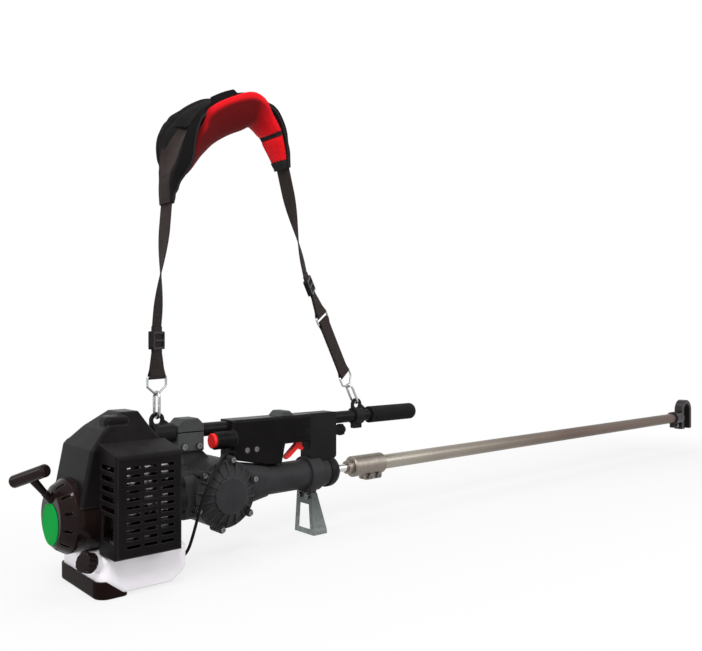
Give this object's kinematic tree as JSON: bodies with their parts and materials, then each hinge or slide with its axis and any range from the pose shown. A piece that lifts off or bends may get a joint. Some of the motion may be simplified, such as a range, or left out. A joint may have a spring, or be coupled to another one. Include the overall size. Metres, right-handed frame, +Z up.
{
  "type": "petrol olive harvester",
  "caption": "Hook-type petrol olive harvester: an engine and gear case shake a long pole with a branch hook, carried by a frame tube with throttle handle, front stand and shoulder strap.",
  "frame": {"origin": "A point on the flat underside of the tank stand, in line with the pole's axis", "axes": "+X along the pole from engine to hook, +Y away from the muffler side, +Z up"},
  "size_m": [2.1569, 0.239, 0.81],
  "materials": {
    "black_plastic": "satin moulded black",
    "guard_plastic": "heat-proof matt black",
    "black_cast": "die-cast aluminium, painted black",
    "grey_cast": "die-cast aluminium, painted dark grey",
    "tank_plastic": "translucent white",
    "red_plastic": "red moulded",
    "black_tube": "black powder coat",
    "rubber": "black rubber",
    "cable_sheath": "black sheath over steel",
    "zinc_sheet": "zinc plated",
    "zinc_wire": "zinc plated",
    "fasteners": "plated steel",
    "pole_metal": "drawn, satin",
    "sleeve_metal": "cast, as turned",
    "bright_steel": "ground steel",
    "engine_alloy": "as cast",
    "muffler_steel": "pressed steel",
    "hook_cast": "cast aluminium, painted black",
    "bronze": "turned bronze",
    "plug_ceramic": "steel and ceramic",
    "pulley_plastic": "nylon",
    "rope": "braided cord",
    "pad_fabric": "woven nylon over foam",
    "lining_fabric": "red mesh",
    "web_fabric": "woven polyester"
  },
  "bodies": {
    "machine": {"crankcase": "engine_alloy", "cylinder": "engine_alloy", "spark_plug": "plug_ceramic", "plug_cap": "black_plastic", "muffler": "muffler_steel", "muffler_guard": "guard_plastic", "engine_cover": "black_plastic", "fan_housing": "black_plastic", "starter_cover": "black_plastic", "fuel_tank": "tank_plastic", "tank_stand": "black_plastic", "carburettor": "engine_alloy", "air_filter_cover": "black_plastic", "bearings": "bright_steel", "clutch_housing": "black_cast", "gear_case": "black_cast", "gear_case_cover": "black_cast", "guide_bushes": "bronze", "nose_cap": "black_cast", "frame_tube": "black_tube", "tube_clamps": "grey_cast", "strap_eyelets": "black_tube", "front_grip": "rubber", "front_bracket": "black_plastic", "handle_shell_near": "black_plastic", "handle_shell_far": "black_plastic", "throttle_cable": "cable_sheath", "vibration_damper": "rubber", "front_stand": "zinc_sheet", "stand_clamp": "black_tube", "m5_screws": "fasteners", "m6_bolts": "fasteners"},
    "shaken_pole": {"yoke": "bright_steel", "slider_rod": "bright_steel", "pole_connector": "sleeve_metal", "pole": "pole_metal", "branch_hook": "hook_cast", "hook_pads": "rubber", "pole_bolts": "fasteners"},
    "crank": {"crank_gear": "bright_steel"},
    "drum": {"clutch_drum": "bright_steel"},
    "crank_set": {"crankshaft": "bright_steel", "flywheel": "engine_alloy", "clutch_shoes": "bright_steel"},
    "piston_set": {"piston": "engine_alloy", "connecting_rod": "bright_steel"},
    "trigger": {"throttle_trigger": "red_plastic"},
    "throttle_arm": {"throttle_lever": "bronze"},
    "button": {"stop_button": "red_plastic"},
    "choke": {"choke_lever": "black_plastic"},
    "tank_cap": {"fuel_cap": "guard_plastic"},
    "starter_pull": {"starter_handle": "black_plastic", "starter_rope": "rope"},
    "pulley": {"starter_pulley": "pulley_plastic"},
    "harness": {"shoulder_pad": "pad_fabric", "pad_lining": "lining_fabric", "webbing": "web_fabric", "strap_slides": "black_plastic", "strap_rings": "zinc_wire", "snap_hooks": "zinc_wire"}
  },
  "joints": [
    {"name": "pole_stroke", "type": "slide", "parent": "machine", "child": "shaken_pole", "axis": [1, 0, 0], "range_m": [-0.025, 0.025]},
    {"name": "crank_turn", "type": "hinge", "parent": "machine", "child": "crank", "pos_m": [0.209, -0.03, 0.112], "axis": [0, 1, 0], "range_deg": [-69, 69]},
    {"name": "drum_turn", "type": "hinge", "parent": "machine", "child": "drum", "pos_m": [0.12, -0.04, 0.112], "axis": [1, 0, 0], "range_deg": [-207, 207]},
    {"name": "crankshaft_spin", "type": "hinge", "parent": "machine", "child": "crank_set", "pos_m": [0.03, -0.04, 0.112], "axis": [1, 0, 0], "continuous": true},
    {"name": "piston_stroke", "type": "slide", "parent": "machine", "child": "piston_set", "axis": [0, 0, 1], "range_m": [0, 0.032]},
    {"name": "trigger_pull", "type": "hinge", "parent": "machine", "child": "trigger", "pos_m": [0.408, 0, 0.186], "axis": [0, 1, 0], "range_deg": [0, 20], "stiffness_Nm_per_rad": 0.6, "springref_deg": -8.59},
    {"name": "throttle_turn", "type": "hinge", "parent": "machine", "child": "throttle_arm", "pos_m": [0.03, 0.035, 0.199], "axis": [0, 0, 1], "range_deg": [0, 55]},
    {"name": "stop_press", "type": "slide", "parent": "machine", "child": "button", "axis": [1, 0, 0], "range_m": [0, 0.0035], "stiffness_N_per_m": 800, "springref_m": -0.004},
    {"name": "choke_turn", "type": "hinge", "parent": "machine", "child": "choke", "pos_m": [0.053, 0.048, 0.186], "axis": [0, -1, 0], "range_deg": [0, 60]},
    {"name": "cap_turn", "type": "hinge", "parent": "machine", "child": "tank_cap", "pos_m": [-0.022, -0.101, 0.049], "axis": [-0.9, -0.28, 0.334], "range_deg": [0, 540]},
    {"name": "rope_pull", "type": "slide", "parent": "machine", "child": "starter_pull", "axis": [-0.6157, 0, 0.788], "range_m": [0, 0.55], "stiffness_N_per_m": 15, "springref_m": -1, "deforming": ["starter_rope"]},
    {"name": "pulley_turn", "type": "hinge", "parent": "machine", "child": "pulley", "pos_m": [-0.06, -0.04, 0.112], "axis": [1, 0, 0], "range_deg": [0, 1100]},
    {"name": "harness_swing", "type": "hinge", "parent": "machine", "child": "harness", "pos_m": [0.115, 0, 0.2504], "axis": [1, 0, -0.0031], "range_deg": [-40, 40]}
  ],
  "couplings": [
    {"joint": "crank_turn", "follows": "pole_stroke", "rad_per_m": 48},
    {"joint": "drum_turn", "follows": "pole_stroke", "rad_per_m": 144},
    {"joint": "throttle_turn", "follows": "trigger_pull", "ratio": 2.7},
    {"joint": "pulley_turn", "follows": "rope_pull", "rad_per_m": 34.48}
  ]
}
